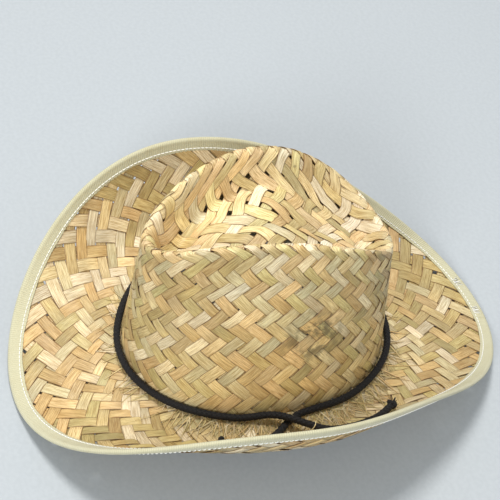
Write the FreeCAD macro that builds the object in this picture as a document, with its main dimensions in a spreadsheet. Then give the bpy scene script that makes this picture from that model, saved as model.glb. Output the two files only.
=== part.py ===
import FreeCAD, Part
import math
import os

# Western-style hat woven from straw, with a bound and wired brim, a sweatband and a tied cord.
# Frame: millimetres, +Z up, the wearer faces -Y and the wearer's left is +X.  The origin is
# under the middle of the hat, on the plane that the front and the back of the brim rest on.
# Angle 0 is the front of the hat and angles grow towards the wearer's left.

V = FreeCAD.Vector

DIMENSIONS = [
    # name, value, meaning
    ("centre_y", -8.8, "middle of the head opening, forward of the hat's middle"),
    ("head_height", 28.92, "mean height of the head opening above the ground"),
    ("head_saddle", -7.2, "how the head opening dips at front and back"),
    ("head_half_length", 99.5, "half length of the crown at the brim"),
    ("head_half_width", 84.0, "half width of the crown at the brim"),
    ("crest_half_length", 92.6, "half length of the crown's top ridge"),
    ("crest_half_width", 48.6, "half width of the crown's top ridge"),
    ("crest_shift", -3.4, "how far the top ridge leans forward"),
    ("crest_egg", -0.21, "narrowing of the top ridge towards the front"),
    ("crest_height", 119.9, "mean height of the ridge above the head opening"),
    ("crest_front_rise", 13.1, "the ridge is higher at the front than at the back"),
    ("crest_saddle", -20.1, "the ridge dips at the front and the back"),
    ("brim_reach", 159.85, "mean distance of the straw's outer edge from the middle"),
    ("brim_reach_front", -2.0, "first harmonic of the brim's outline"),
    ("brim_reach_oval", 24.25, "second harmonic: longer than wide"),
    ("brim_reach_three", -5.2, "third harmonic"),
    ("brim_reach_four", 3.7, "fourth harmonic"),
    ("brim_reach_five", -1.6, "fifth harmonic"),
    ("edge_height", 25.95, "mean height of the brim's edge above the head opening"),
    ("edge_front", 4.6, "first harmonic of the edge's height"),
    ("edge_curl", -44.35, "second harmonic: the sides curl up, front and back dip"),
    ("edge_three", -4.3, "third harmonic"),
    ("edge_four", -7.9, "fourth harmonic"),
    ("curl_power", 2.5, "how late the brim turns up, mean"),
    ("curl_power_side", 0.9, "how much later it turns up at the sides"),
    ("sag", 3.5, "hollow of the brim between crown and edge, mean"),
    ("sag_front", -0.5, "first harmonic of the hollow"),
    ("sag_ends", 1.0, "second harmonic of the hollow"),
    ("straw_thickness", 1.2, "two crossed straw strips"),
    ("binding_width", 7.2, "how far the tape covers the brim on each face"),
    ("tape_thickness", 0.8, "ribbed binding tape"),
    ("tape_gap", 0.2, "room between the tape and the straw"),
    ("fold_room", 0.4, "room round the wire in the fold of the tape"),
    ("wire_diameter", 1.7, "wire in the fold of the binding"),
    ("sleeve_length", 6.0, "crimped sleeve that joins the wire's ends"),
    ("sleeve_diameter", 2.1, "outside diameter of the sleeve"),
    ("thread_diameter", 0.5, "sewing thread"),
    ("thread_width", 0.8, "width of a stitch line, a little more than the thread"),
    ("thread_gap", 0.1, "room between thread and tape"),
    ("thread_inset", 5.4, "stitch line's distance from the brim's edge"),
    ("lap_angle", 181.0, "where the binding's ends overlap, degrees from the front"),
    ("lap_inset", 3.2, "middle of the lap stitches, in from the brim's edge"),
    ("lap_step", 1.2, "angle from one lap stitch to the next, degrees"),
    ("lap_stitch", 3.6, "length of a lap stitch"),
    ("cord_diameter", 5.5, "braided hat cord"),
    ("knot_ring", 2.5, "ring radius of an end knot"),
    ("knot_turn", 2.0, "thickness radius of an end knot"),
    ("knot_length", 8.0, "length of an end knot along the cord"),
    ("tack_ring", 3.8, "radius of the tack that ties the cord down"),
    ("tack_thickness", 0.4, "radius of the tack's strand"),
    ("band_height", 28.0, "sweatband height"),
    ("band_thickness", 1.2, "sweatband thickness"),
    ("band_gap", 0.4, "room between sweatband and straw"),
    ("joint_width", 18.0, "tape over the sweatband's back joint"),
    ("joint_clearance", 2.5, "room for the band's lean behind the flat tape"),
    ("joint_thickness", 0.6, "thickness of that tape"),
]

# Rings of the crown from the head opening to the middle of the dented top.  A wall ring is a
# share of the way up to the ridge; a dent ring is scaled in from the ridge and dropped.
WALL_SHARES = [0.0, 0.3, 0.6, 0.85, 1.0]
DENT_RINGS = [
    # width scale, length scale, drop, extra drop at the front, saddle given back, shift back
    (0.90, 0.93, -1.0, 0.0, 0.0, 0.0),
    (0.79, 0.85, -13.0, -4.0, 2.0, 0.0),
    (0.68, 0.74, -19.0, -8.0, 6.0, 1.0),
    (0.54, 0.58, -14.0, -7.0, 10.0, 2.0),
    (0.28, 0.30, -7.0, -6.0, 15.0, 3.0),
    (0.00, 0.00, -5.0, -13.1, 20.1, 4.0),
]

# The cord's route, from the knot at the back of the near side, over itself, round the crown
# and out under itself to the knot at the front of the near side.
CORD_ROUTE = [
    (103.4, 54.7, 48.0), (113.2, 42.5, 53.8), (114.4, 24.5, 49.8), (109.2, 6.7, 42.5),
    (101.5, -7.8, 45.3), (88.4, -26.1, 45.4), (82.9, -44.3, 38.4), (79.5, -55.8, 37.2),
    (64.5, -80.2, 33.2), (44.0, -99.2, 29.2), (16.0, -111.9, 26.0), (-14.0, -112.4, 25.9),
    (-43.0, -99.7, 28.9), (-64.0, -80.2, 33.2), (-80.0, -54.8, 37.4), (-88.0, -26.6, 39.8),
    (-89.5, 2.7, 39.8), (-83.5, 29.0, 38.0), (-70.5, 54.9, 34.4), (-51.0, 77.3, 30.1),
    (-27.5, 91.5, 26.6), (0.0, 96.8, 25.1), (27.5, 91.5, 26.6), (51.0, 77.3, 30.1),
    (70.5, 54.9, 34.4), (83.5, 30.5, 37.9), (87.1, 5.6, 39.4), (89.2, -12.4, 39.4),
    (100.6, -27.5, 38.9), (106.3, -38.6, 41.3), (107.7, -54.2, 44.6), (105.4, -70.0, 49.0),
]
TACK_RUNS = [3, 27]          # runs of the route that a tack holds down

LAP_STITCHES = 5             # stitches across the binding's lap
AROUND = 72                  # pole columns round the hat
SECTION = 8                  # pole rows round a wire or thread
ROUND_POLE = 0.925           # radius of a quadratic ring over its poles' radius


def fill_sheet(doc):
    sheet = doc.addObject("Spreadsheet::Sheet", "Dimensions")
    for row, (name, value, meaning) in enumerate(DIMENSIONS, start=1):
        sheet.set("A%d" % row, meaning)
        sheet.set("B%d" % row, str(value))
        sheet.setAlias("B%d" % row, name)
    doc.recompute()
    return sheet


doc = FreeCAD.newDocument("straw_hat")
sheet = fill_sheet(doc)


def size(name):
    return float(sheet.get(name))


def harmonics(names, angle):
    return sum(size(name) * math.cos(order * angle) for order, name in enumerate(names))


# ---------------------------------------------------------------- shape of the straw body

BASE = {"a": size("head_half_length"), "b": size("head_half_width"), "shift": 0.0, "egg": 0.0,
        "z": (0.0, 0.0, size("head_saddle"))}
CREST = {"a": size("crest_half_length"), "b": size("crest_half_width"),
         "shift": size("crest_shift"), "egg": size("crest_egg"),
         "z": (size("crest_height"), size("crest_front_rise"), size("crest_saddle"))}


def wall_ring(share):
    mix = {key: BASE[key] + (CREST[key] - BASE[key]) * share for key in ("a", "b", "shift", "egg")}
    mix["z"] = tuple(low + (high - low) * share for low, high in zip(BASE["z"], CREST["z"]))
    return mix


def dent_ring(width, length, drop, front, saddle, shift):
    return {"a": CREST["a"] * length, "b": CREST["b"] * width, "egg": CREST["egg"],
            "shift": CREST["shift"] + shift,
            "z": (CREST["z"][0] + drop, CREST["z"][1] + front, CREST["z"][2] + saddle)}


CROWN_RINGS = [wall_ring(share) for share in WALL_SHARES] + [dent_ring(*row) for row in DENT_RINGS]
CREST_KNOT = len(WALL_SHARES) - 1
LAST_KNOT = len(CROWN_RINGS) - 1


def ring_point(ring, angle):
    z = ring["z"][0] + ring["z"][1] * math.cos(angle) + ring["z"][2] * math.cos(2 * angle)
    return V(ring["b"] * math.sin(angle) * (1 + ring["egg"] * math.cos(angle)),
             ring["shift"] - ring["a"] * math.cos(angle) + size("centre_y"),
             z + size("head_height"))


def crown_point(angle, knot):
    """Middle of the straw on the crown: knot 0 is the head opening, then one per ring."""
    first = min(int(knot), LAST_KNOT - 1)
    part = knot - first
    p1 = ring_point(CROWN_RINGS[first], angle)
    p2 = ring_point(CROWN_RINGS[first + 1], angle)
    p0 = ring_point(CROWN_RINGS[first - 1], angle) if first > 0 else p1 * 2 - p2
    p3 = ring_point(CROWN_RINGS[first + 2], angle) if first + 2 <= LAST_KNOT else p2 * 2 - p1
    return (p1 * 2 + (p2 - p0) * part + (p0 * 2 - p1 * 5 + p2 * 4 - p3) * part ** 2
            + (p1 * 3 - p0 - p2 * 3 + p3) * part ** 3) * 0.5


def edge_point(angle):
    reach = harmonics(("brim_reach", "brim_reach_front", "brim_reach_oval", "brim_reach_three",
                       "brim_reach_four", "brim_reach_five"), angle)
    rise = harmonics(("edge_height", "edge_front", "edge_curl", "edge_three", "edge_four"), angle)
    return V(reach * math.sin(angle), size("centre_y") - reach * math.cos(angle),
             rise + size("head_height"))


def brim_point(angle, share):
    """Middle of the straw on the brim: share 0 is at the crown and 1 at the outer edge."""
    inner, outer = ring_point(BASE, angle), edge_point(angle)
    power = size("curl_power") - size("curl_power_side") * math.cos(2 * angle)
    hollow = harmonics(("sag", "sag_front", "sag_ends"), angle) * 4 * share * (1 - share)
    point = inner + (outer - inner) * share
    point.z = inner.z + (outer.z - inner.z) * max(share, 0.0) ** power - hollow
    return point


def normal(surface, angle, along, low, high):
    """Unit normal of a surface function, on the side the sky sees."""
    step = 0.002
    turn = surface(angle + step, along) - surface(angle - step, along)
    run = surface(angle, min(along + step, high)) - surface(angle, max(along - step, low))
    return run.cross(turn).normalize()


def crown_normal(angle, knot):
    return normal(crown_point, angle, min(knot, LAST_KNOT - 0.1), 0.0, LAST_KNOT) * -1


def brim_normal(angle, share):
    up = normal(brim_point, angle, share, 0.0, 1.0)
    return up if up.z > 0 else up * -1


BRIM_STEPS = 60


def brim_station(angle, inset):
    """Share of the way out at which the brim is this far in from its edge, along the straw."""
    left, share, last = inset, 1.0, brim_point(angle, 1.0)
    while left > 0:
        share -= 1.0 / BRIM_STEPS
        point = brim_point(angle, share)
        run = (point - last).Length
        if run >= left:
            return share + (1.0 - left / run) / BRIM_STEPS
        left, last = left - run, point
    return 1.0


# ---------------------------------------------------------------- faces and solids round the hat

ANGLES = [2 * math.pi * column / AROUND for column in range(AROUND)]


def rows_of(point_at, stations):
    return [[point_at(angle, station) for angle in ANGLES] for station in stations]


def ring_face(rows):
    """Face that closes round the hat, with its rows of poles clamped at both ends."""
    degree = min(3, len(rows) - 1)
    spans = len(rows) - degree
    surface = Part.BSplineSurface()
    surface.buildFromPolesMultsKnots(
        [list(column) for column in zip(*rows)],
        [1] * (AROUND + 1), [degree + 1] + [1] * (spans - 1) + [degree + 1],
        list(range(AROUND + 1)), list(range(spans + 1)), True, False, 3, degree)
    return surface.toShape()


def ring_solid(*faces):
    skin = Part.makeShell(list(faces))
    skin.sewShape(0.001)
    solid = Part.makeSolid(Part.makeShell(skin.Faces))
    if solid.Volume < 0:
        solid.reverse()
    return solid


def ring_tube(centre_at, radius):
    """Wire or thread that closes round the hat; centre_at gives its centre and two directions."""
    columns = []
    for angle in ANGLES:
        centre, side, up = centre_at(angle)
        turns = [2 * math.pi * step / SECTION for step in range(SECTION)]
        columns.append([centre + (side * math.cos(turn) + up * math.sin(turn))
                        * (radius / ROUND_POLE) for turn in turns])
    surface = Part.BSplineSurface()
    surface.buildFromPolesMultsKnots(
        columns, [1] * (AROUND + 1), [1] * (SECTION + 1),
        list(range(AROUND + 1)), list(range(SECTION + 1)), True, True, 3, 2)
    return ring_solid(surface.toShape())


def ring_bar(centre_at, width, height):
    """Flat-sided stitch line that closes round the hat."""
    corners = []
    for along, lift in ((1, 1), (-1, 1), (-1, -1), (1, -1)):
        row = []
        for angle in ANGLES:
            centre, side, up = centre_at(angle)
            row.append(centre + side * (along * width / 2) + up * (lift * height / 2))
        corners.append(row)
    return ring_solid(*[ring_face([corners[turn - 1], corners[turn]]) for turn in range(4)])


def corner_offset(angle):
    """Mitred offset at the bend between crown wall and brim."""
    wall, flat = crown_normal(angle, 0.0), brim_normal(angle, 0.0)
    both = wall + flat
    return both * (1.0 / (1.0 + wall.dot(flat)))


def crown_side(offset):
    def point_at(angle, knot):
        if knot == 0:
            return crown_point(angle, 0) + corner_offset(angle) * offset
        return crown_point(angle, knot) + crown_normal(angle, knot) * offset
    return point_at


def brim_side(offset):
    def point_at(angle, share):
        if share == 0:
            return brim_point(angle, 0) + corner_offset(angle) * offset
        return brim_point(angle, share) + brim_normal(angle, share) * offset
    return point_at


def add_shape(name, shape):
    feature = doc.addObject("Part::Feature", name)
    feature.Label = name
    feature.Shape = shape
    return feature


def crown_nodes():
    half = size("straw_thickness") / 2
    wall_knots = [0.0, 0.4, 1.0, 1.6, 2.2, 2.8, 3.2, 3.5, 3.8, 4.0]
    tip_knots = [4.0, 4.2, 4.5, 5.0, 5.5, 6.0, 6.5, 7.0, 7.5, 8.0, 8.5, 9.0, 9.5, 9.9]
    outer, inner = rows_of(crown_side(half), wall_knots), rows_of(crown_side(-half), wall_knots)
    add_shape("crown_wall", ring_solid(
        ring_face(outer), ring_face([outer[-1], inner[-1]]),
        ring_face(inner), ring_face([inner[0], outer[0]])))
    outer, inner = rows_of(crown_side(half), tip_knots), rows_of(crown_side(-half), tip_knots)
    middle = crown_point(0.0, LAST_KNOT)
    for rows, lift in ((outer, half), (inner, -half)):
        rows.append([middle + V(0, 0, lift)] * AROUND)
    add_shape("crown_tip", ring_solid(
        ring_face(outer), ring_face([outer[0], inner[0]]), ring_face(inner)))


def brim_node():
    half = size("straw_thickness") / 2
    shares = [0.0, 0.06, 0.15, 0.25, 0.35, 0.45, 0.55, 0.65, 0.73, 0.8, 0.86, 0.92, 0.96, 1.0]
    upper, lower = rows_of(brim_side(half), shares), rows_of(brim_side(-half), shares)
    add_shape("brim", ring_solid(
        ring_face(upper), ring_face([upper[-1], lower[-1]]),
        ring_face(lower), ring_face([lower[0], upper[0]])))


# ---------------------------------------------------------------- binding, wire and thread

def edge_frame(angle):
    """Edge of the brim with the direction out of it and the straw's normal there."""
    end = brim_point(angle, 1.0)
    out = (end - brim_point(angle, 0.995)).normalize()
    return end, out, brim_normal(angle, 1.0)


def binding_rows(offset, nose):
    """Rows from the upper leg's end, round the fold, to the lower leg's end."""
    insets = [size("binding_width") * share for share in (1.0, 0.75, 0.5, 0.25)]

    def leg(side):
        return [[brim_point(angle, brim_station(angle, inset))
                 + brim_normal(angle, brim_station(angle, inset)) * (offset * side)
                 for angle in ANGLES] for inset in insets]

    def fold(reach, height):
        row = []
        for angle in ANGLES:
            end, out, up = edge_frame(angle)
            row.append(end + out * reach + up * height)
        return row

    swell = offset + size("fold_room")
    return (leg(1) + [fold(0.0, swell), fold(nose * 0.7, swell), fold(nose, swell * 0.6),
                      fold(nose, -swell * 0.6), fold(nose * 0.7, -swell), fold(0.0, -swell)]
            + leg(-1)[::-1])


def binding_inside():
    return size("straw_thickness") / 2 + size("tape_gap")


def binding_outside():
    return binding_inside() + size("tape_thickness")


def wire_reach():
    """How far beyond the straw's edge the wire's middle lies."""
    return size("wire_diameter") / 2 + size("fold_room")


def binding_nodes():
    fold = 2 * wire_reach()
    outer = binding_rows(binding_outside(), fold + size("tape_thickness"))
    inner = binding_rows(binding_inside(), fold)
    add_shape("edge_binding", ring_solid(
        ring_face(outer), ring_face([outer[-1], inner[-1]]),
        ring_face(inner), ring_face([inner[0], outer[0]])))

    def wire_centre(angle):
        end, out, up = edge_frame(angle)
        return end + out * wire_reach(), out, up

    wire = add_shape("brim_wire", ring_tube(wire_centre, size("wire_diameter") / 2))

    def stitch_line(side):
        def centre(angle):
            share = brim_station(angle, size("thread_inset"))
            up = brim_normal(angle, share)
            along = (brim_point(angle, share) - brim_point(angle, share - 0.01)).normalize()
            lift = binding_outside() + size("thread_diameter") / 2 + size("thread_gap")
            return brim_point(angle, share) + up * (lift * side), along, up
        return centre

    for name, side in (("binding_thread_upper", 1), ("binding_thread_under", -1)):
        add_shape(name, ring_bar(stitch_line(side), size("thread_width"), size("thread_diameter")))
    return wire


# ---------------------------------------------------------------- cord

def cord_path(route):
    """Straight runs joined by tangent arcs, each as large as its two runs allow."""
    points = [V(*point) for point in route]
    edges, start, radii = [], points[0], []
    for before, corner, after in zip(points, points[1:], points[2:]):
        towards, away = (before - corner), (after - corner)
        turn = math.pi - towards.getAngle(away)
        cut = 0.45 * min(towards.Length, away.Length)
        radii.append(cut / math.tan(turn / 2))
        towards.normalize()
        away.normalize()
        enter, leave = corner + towards * cut, corner + away * cut
        bisector = (towards + away).normalize()
        middle = arc_middle(corner, bisector, cut, turn)
        edges.append(Part.LineSegment(start, enter).toShape())
        edges.append(Part.Arc(enter, middle, leave).toShape())
        start = leave
    edges.append(Part.LineSegment(start, points[-1]).toShape())
    return Part.Wire(edges), radii


def arc_middle(corner, bisector, cut, turn):
    radius = cut / math.tan(turn / 2)
    return corner + bisector * (radius / math.cos(turn / 2) - radius)


def cord_node():
    path, radii = cord_path(CORD_ROUTE)
    start, ahead = V(*CORD_ROUTE[0]), V(*CORD_ROUTE[1]) - V(*CORD_ROUTE[0])
    radius = size("cord_diameter") / 2
    section = Part.Wire(Part.Circle(start, ahead, radius).toShape())
    tube = path.makePipeShell([section], True, False)
    print("cord length %.1f, volume over section times length %.4f" % (
        path.Length, tube.Volume / (math.pi * radius ** 2 * path.Length)))
    print("cord radii", [round(value) for value in radii])
    return add_shape("hat_cord", tube)


# ---------------------------------------------------------------- knots and tacks

def bind(item, **sizes):
    for name, expression in sizes.items():
        item.setExpression(name, expression)


def facing(centre, direction):
    return FreeCAD.Placement(centre, FreeCAD.Rotation(V(0, 0, 1), direction))


def fuse(name, items):
    union = doc.addObject("Part::MultiFuse", name)
    union.Shapes = items
    return union


def cut(name, base, tool):
    difference = doc.addObject("Part::Cut", name)
    difference.Base, difference.Tool = base, tool
    difference.Label = name
    return difference


def knot_node(name, cord, end, before):
    """Overhand knot: a turn lying across the cord's end, with the short tail pulled through."""
    end, before = V(*end), V(*before)
    ahead = (end - before).normalize()
    centre = end + ahead * size("knot_ring")
    turn = doc.addObject("Part::Torus", name + "_turn")
    bind(turn, Radius1="Dimensions.knot_ring", Radius2="Dimensions.knot_turn")
    turn.Placement = facing(centre, ahead)
    heart = doc.addObject("Part::Ellipsoid", name + "_heart")
    bind(heart, Radius1="Dimensions.knot_length / 2", Radius2="Dimensions.knot_ring * 1.5",
         Radius3="Dimensions.knot_ring * 1.2")
    heart.Placement = facing(centre, ahead)
    stub = doc.addObject("Part::Cylinder", name + "_stub")
    bind(stub, Radius="Dimensions.cord_diameter * 0.4", Height="Dimensions.knot_length")
    stub.Placement = facing(centre, ahead)
    cut(name, fuse(name + "_turns", [turn, heart, stub]), cord)


def tack_node(brim):
    """Thin strand tied over the cord and into the brim, at two places."""
    loops = []
    for number, run in enumerate(TACK_RUNS):
        start, finish = V(*CORD_ROUTE[run]), V(*CORD_ROUTE[run + 1])
        loop = doc.addObject("Part::Torus", "tack_loop_%d" % number)
        bind(loop, Radius1="Dimensions.tack_ring", Radius2="Dimensions.tack_thickness")
        loop.Placement = facing((start + finish) * 0.5, finish - start)
        loops.append(loop)
    cut("cord_tack", fuse("tack_loops", loops), brim)


# ---------------------------------------------------------------- sweatband

def band_side(depth):
    def point_at(angle, share):
        knot = share / WALL_SHARES[1]
        return crown_point(angle, knot) - crown_normal(angle, max(knot, 0.05)) * depth
    return point_at


def sweatband_nodes():
    half = size("straw_thickness") / 2
    rise = size("crest_height")
    low, high = 1.5 / rise, (1.5 + size("band_height")) / rise
    shares = [low + (high - low) * step / 4 for step in range(5)]
    near = half + size("band_gap")
    far = near + size("band_thickness")
    outer, inner = rows_of(band_side(near), shares), rows_of(band_side(far), shares)
    add_shape("sweatband", ring_solid(
        ring_face(outer), ring_face([outer[-1], inner[-1]]),
        ring_face(inner), ring_face([inner[0], outer[0]])))

    def seam(angle):
        share = low + 3.0 / rise
        side = crown_normal(angle, share / WALL_SHARES[1])
        up = (band_side(far)(angle, share + 0.01) - band_side(far)(angle, share)).normalize()
        depth = far + size("thread_diameter") / 2 + size("thread_gap")
        return band_side(depth)(angle, share), up, side

    add_shape("sweatband_thread", ring_bar(seam, size("thread_width"), size("thread_diameter")))

    joint = doc.addObject("Part::Box", "sweatband_joint")
    joint.Label = "sweatband_joint"
    bind(joint, Length="Dimensions.joint_width", Width="Dimensions.joint_thickness",
         Height="Dimensions.band_height * 0.6")
    inside = band_side(far)(math.pi, low + 0.35 * (high - low))
    joint.Placement = FreeCAD.Placement(
        V(-size("joint_width") / 2, inside.y - size("joint_thickness") - size("joint_clearance"), inside.z),
        FreeCAD.Rotation())


# ---------------------------------------------------------------- sleeve and lap of the binding

def sleeve_node(wire):
    """Crimped sleeve over the wire's two ends, at the middle of the back."""
    end, out, _ = edge_frame(math.pi)
    length = size("sleeve_length")
    barrel = doc.addObject("Part::Cylinder", "sleeve_barrel")
    bind(barrel, Radius="Dimensions.sleeve_diameter / 2", Height="Dimensions.sleeve_length")
    barrel.Placement = facing(end + out * wire_reach() + V(-length / 2, 0, 0), V(1, 0, 0))
    cut("wire_sleeve", barrel, wire)


def lap_tack_node():
    """Stitches across the binding where its two ends overlap."""
    stitches = []
    lift = binding_outside() + size("thread_diameter") + size("fold_room")
    share = brim_station(math.radians(size("lap_angle")), size("lap_inset"))
    for number in range(LAP_STITCHES):
        angle = math.radians(size("lap_angle") + number * size("lap_step"))
        up = brim_normal(angle, share)
        across = (brim_point(angle, share) - brim_point(angle, share - 0.01)).normalize()
        stitch = doc.addObject("Part::Cylinder", "lap_stitch_%d" % number)
        bind(stitch, Radius="Dimensions.thread_diameter / 2", Height="Dimensions.lap_stitch")
        start = brim_point(angle, share) + up * lift - across * (size("lap_stitch") / 2)
        stitch.Placement = facing(start, across)
        stitches.append(stitch)
    tack = doc.addObject("Part::Compound", "binding_lap_tack")
    tack.Label = "binding_lap_tack"
    tack.Links = stitches


doc.recompute()
crown_nodes()
brim_node()
sleeve_node(binding_nodes())
lap_tack_node()
cord = cord_node()
knot_node("cord_knot_back", cord, CORD_ROUTE[0], CORD_ROUTE[1])
knot_node("cord_knot_front", cord, CORD_ROUTE[-1], CORD_ROUTE[-2])
tack_node(doc.getObject("brim"))
sweatband_nodes()
doc.recompute()

NODES = ["crown_tip", "crown_wall", "brim", "edge_binding", "brim_wire", "wire_sleeve",
         "binding_thread_upper", "binding_thread_under", "binding_lap_tack", "hat_cord",
         "cord_knot_back", "cord_knot_front", "cord_tack", "sweatband", "sweatband_thread",
         "sweatband_joint"]

for item in doc.Objects:
    if "Invalid" in item.State or "Error" in item.State:
        raise RuntimeError("%s failed: %s" % (item.Label, item.State))
parts = {item.Label: item for item in doc.Objects if item.Label in NODES}
for label in NODES:
    shape = parts[label].Shape
    if shape.isNull() or not shape.isValid() or not shape.Solids:
        raise RuntimeError("%s has no valid solid" % label)

os.makedirs("parts", exist_ok=True)
for label in NODES:
    shape = parts[label].Shape
    shape.exportStep("parts/%s.step" % label)
    print("%-22s %8.0f mm3  %s" % (label, shape.Volume, shape.BoundBox))
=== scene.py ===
import math

import bpy
import numpy as np
from mathutils import Matrix, Vector


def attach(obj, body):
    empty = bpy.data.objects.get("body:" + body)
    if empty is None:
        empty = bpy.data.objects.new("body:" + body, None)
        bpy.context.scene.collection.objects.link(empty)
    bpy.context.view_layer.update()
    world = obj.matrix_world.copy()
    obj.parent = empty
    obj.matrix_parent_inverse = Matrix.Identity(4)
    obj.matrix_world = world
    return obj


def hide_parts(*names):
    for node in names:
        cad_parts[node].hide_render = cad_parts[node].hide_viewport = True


# Woven straw western hat.  The frame is the CAD's: +Z up, the wearer faces -Y and the wearer's
# left is +X.  The straw body's shape is worked out in millimetres, as in the CAD, and meshes are
# made in metres.

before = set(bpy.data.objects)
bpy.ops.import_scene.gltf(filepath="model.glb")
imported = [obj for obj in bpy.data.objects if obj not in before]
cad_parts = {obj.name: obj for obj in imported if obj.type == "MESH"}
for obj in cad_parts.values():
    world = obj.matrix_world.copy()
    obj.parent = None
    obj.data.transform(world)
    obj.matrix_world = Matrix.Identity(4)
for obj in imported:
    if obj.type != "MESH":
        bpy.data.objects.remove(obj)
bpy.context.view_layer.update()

MM = 0.001
TAU = 2 * math.pi

# ---------------- camera

VIEW_AZIMUTH = math.radians(62.0)
VIEW_ELEVATION = math.radians(46.57)
VIEW_ROLL = math.radians(11.93)
VIEW_TARGET = Vector((-0.0428, -0.0028, 0.0673))
VIEW_DISTANCE = 1.0
LENS = 96.34


def make_camera():
    back = Vector((math.sin(VIEW_AZIMUTH) * math.cos(VIEW_ELEVATION),
                   -math.cos(VIEW_AZIMUTH) * math.cos(VIEW_ELEVATION),
                   math.sin(VIEW_ELEVATION)))
    level = Vector((math.cos(VIEW_AZIMUTH), math.sin(VIEW_AZIMUTH), 0))
    upright = back.cross(level)
    right = level * math.cos(VIEW_ROLL) + upright * math.sin(VIEW_ROLL)
    up = back.cross(right)
    camera = bpy.data.objects.new("camera", bpy.data.cameras.new("camera"))
    camera.data.lens = LENS
    camera.data.clip_start = 0.05
    turn = Matrix((right, up, back)).transposed().to_4x4()
    camera.matrix_world = Matrix.Translation(VIEW_TARGET + back * VIEW_DISTANCE) @ turn
    bpy.context.scene.collection.objects.link(camera)
    bpy.context.scene.camera = camera


make_camera()

# ---------------- meshes and node materials


def new_object(name, verts, faces, material=None, smooth=True):
    mesh = bpy.data.meshes.new(name)
    mesh.from_pydata(np.asarray(verts).tolist(), [], [list(map(int, face)) for face in faces])
    mesh.validate()
    if smooth:
        mesh.polygons.foreach_set("use_smooth", [True] * len(mesh.polygons))
    item = bpy.data.objects.new(name, mesh)
    bpy.context.scene.collection.objects.link(item)
    if material:
        mesh.materials.append(material)
    return item


def strip_uvs(mesh, places):
    """UV layer "strip" with the given place for each vertex."""
    corner = np.empty(len(mesh.loops), int)
    mesh.loops.foreach_get("vertex_index", corner)
    layer = mesh.uv_layers.new(name="strip")
    layer.data.foreach_set("uv", places[corner].ravel())


def ring_faces(count, size):
    """Quads between each of count rings of size vertices and the next."""
    row, here = np.meshgrid(np.arange(count - 1) * size, np.arange(size), indexing="ij")
    there = (here + 1) % size
    quads = np.stack([row + here, row + there, row + size + there, row + size + here], -1)
    return quads.reshape(-1, 4)


def ring_caps(count, size):
    """Faces that close the first and the last of count rings."""
    last = (count - 1) * size
    return [list(range(size))[::-1], list(range(last, last + size))]


def add_to_hat(item, slot, *nodes):
    """Sets a piece on the hat's body, in place of CAD nodes; the slot is not used."""
    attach(item, "root")
    if nodes:
        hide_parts(*nodes)


class Graph:
    """Small helper that adds nodes to a material and links them."""

    def __init__(self, name):
        self.material = bpy.data.materials.new(name)
        self.material.use_nodes = True
        self.tree = self.material.node_tree
        self.shader = self.tree.nodes["Principled BSDF"]

    def add(self, kind, **settings):
        node = self.tree.nodes.new(kind)
        for key, value in settings.items():
            setattr(node, key, value)
        return node

    def link(self, source, target):
        self.tree.links.new(source, target)

    def put(self, socket, value):
        if isinstance(value, bpy.types.NodeSocket):
            self.link(value, socket)
        else:
            socket.default_value = value

    def math(self, operation, first, second):
        node = self.add("ShaderNodeMath", operation=operation)
        self.put(node.inputs[0], first)
        self.put(node.inputs[1], second)
        return node.outputs[0]

    def mix(self, factor, first, second, blend="MIX"):
        node = self.add("ShaderNodeMix", data_type="RGBA", blend_type=blend)
        self.put(node.inputs["Factor"], factor)
        self.put(node.inputs[6], first)
        self.put(node.inputs[7], second)
        return node.outputs[2]

    def tinted(self, color, tint):
        return self.mix(1.0, color, tint, "MULTIPLY")

    def patched(self, color, other, noise, low, high, first=0.0, second=1.0):
        """The colour, with the other one where the noise lies high on a ramp."""
        return self.mix(self.ramp(noise, low, high, first, second), color, other)

    def place(self):
        return self.add("ShaderNodeTexCoord").outputs["Object"]

    def strip_place(self):
        return self.add("ShaderNodeUVMap", uv_map="strip").outputs[0]

    def wave(self, coordinates, direction, **values):
        node = self.add("ShaderNodeTexWave", wave_type="BANDS", bands_direction=direction)
        self.link(coordinates, node.inputs["Vector"])
        for name, value in values.items():
            node.inputs[name].default_value = value
        return node.outputs["Fac"]

    def noise(self, coordinates, scale, detail=3.0, rough=0.55, stretch=None):
        if stretch:
            mapping = self.add("ShaderNodeMapping")
            self.link(coordinates, mapping.inputs["Vector"])
            mapping.inputs["Scale"].default_value = stretch
            coordinates = mapping.outputs[0]
        node = self.add("ShaderNodeTexNoise")
        self.link(coordinates, node.inputs["Vector"])
        node.inputs["Scale"].default_value = scale
        node.inputs["Detail"].default_value = detail
        node.inputs["Roughness"].default_value = rough
        return node.outputs["Fac"]

    def ramp(self, value, low, high, first=0.0, second=1.0):
        node = self.add("ShaderNodeMapRange", interpolation_type="SMOOTHSTEP")
        self.put(node.inputs["Value"], value)
        for name, number in (("From Min", low), ("From Max", high),
                             ("To Min", first), ("To Max", second)):
            node.inputs[name].default_value = number
        return node.outputs[0]

    def bump(self, height, distance, strength=1.0, after=None):
        node = self.add("ShaderNodeBump")
        self.put(node.inputs["Height"], height)
        node.inputs["Distance"].default_value = distance
        node.inputs["Strength"].default_value = strength
        if after is not None:
            self.link(after, node.inputs["Normal"])
        self.link(node.outputs[0], self.shader.inputs["Normal"])
        return node.outputs[0]

    def attribute(self, name, output="Color"):
        return self.add("ShaderNodeAttribute", attribute_name=name).outputs[output]

    def shade(self, **values):
        names = {"color": "Base Color", "rough": "Roughness", "sheen": "Sheen Weight",
                 "metal": "Metallic", "specular": "Specular IOR Level"}
        for key, value in values.items():
            self.put(self.shader.inputs[names[key]], value)
        return self.material


def srgb(red, green, blue):
    """Linear colour from 0-255 display values."""
    def linear(value):
        value /= 255.0
        return value / 12.92 if value <= 0.04045 else ((value + 0.055) / 1.055) ** 2.4
    return (linear(red), linear(green), linear(blue), 1.0)


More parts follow.
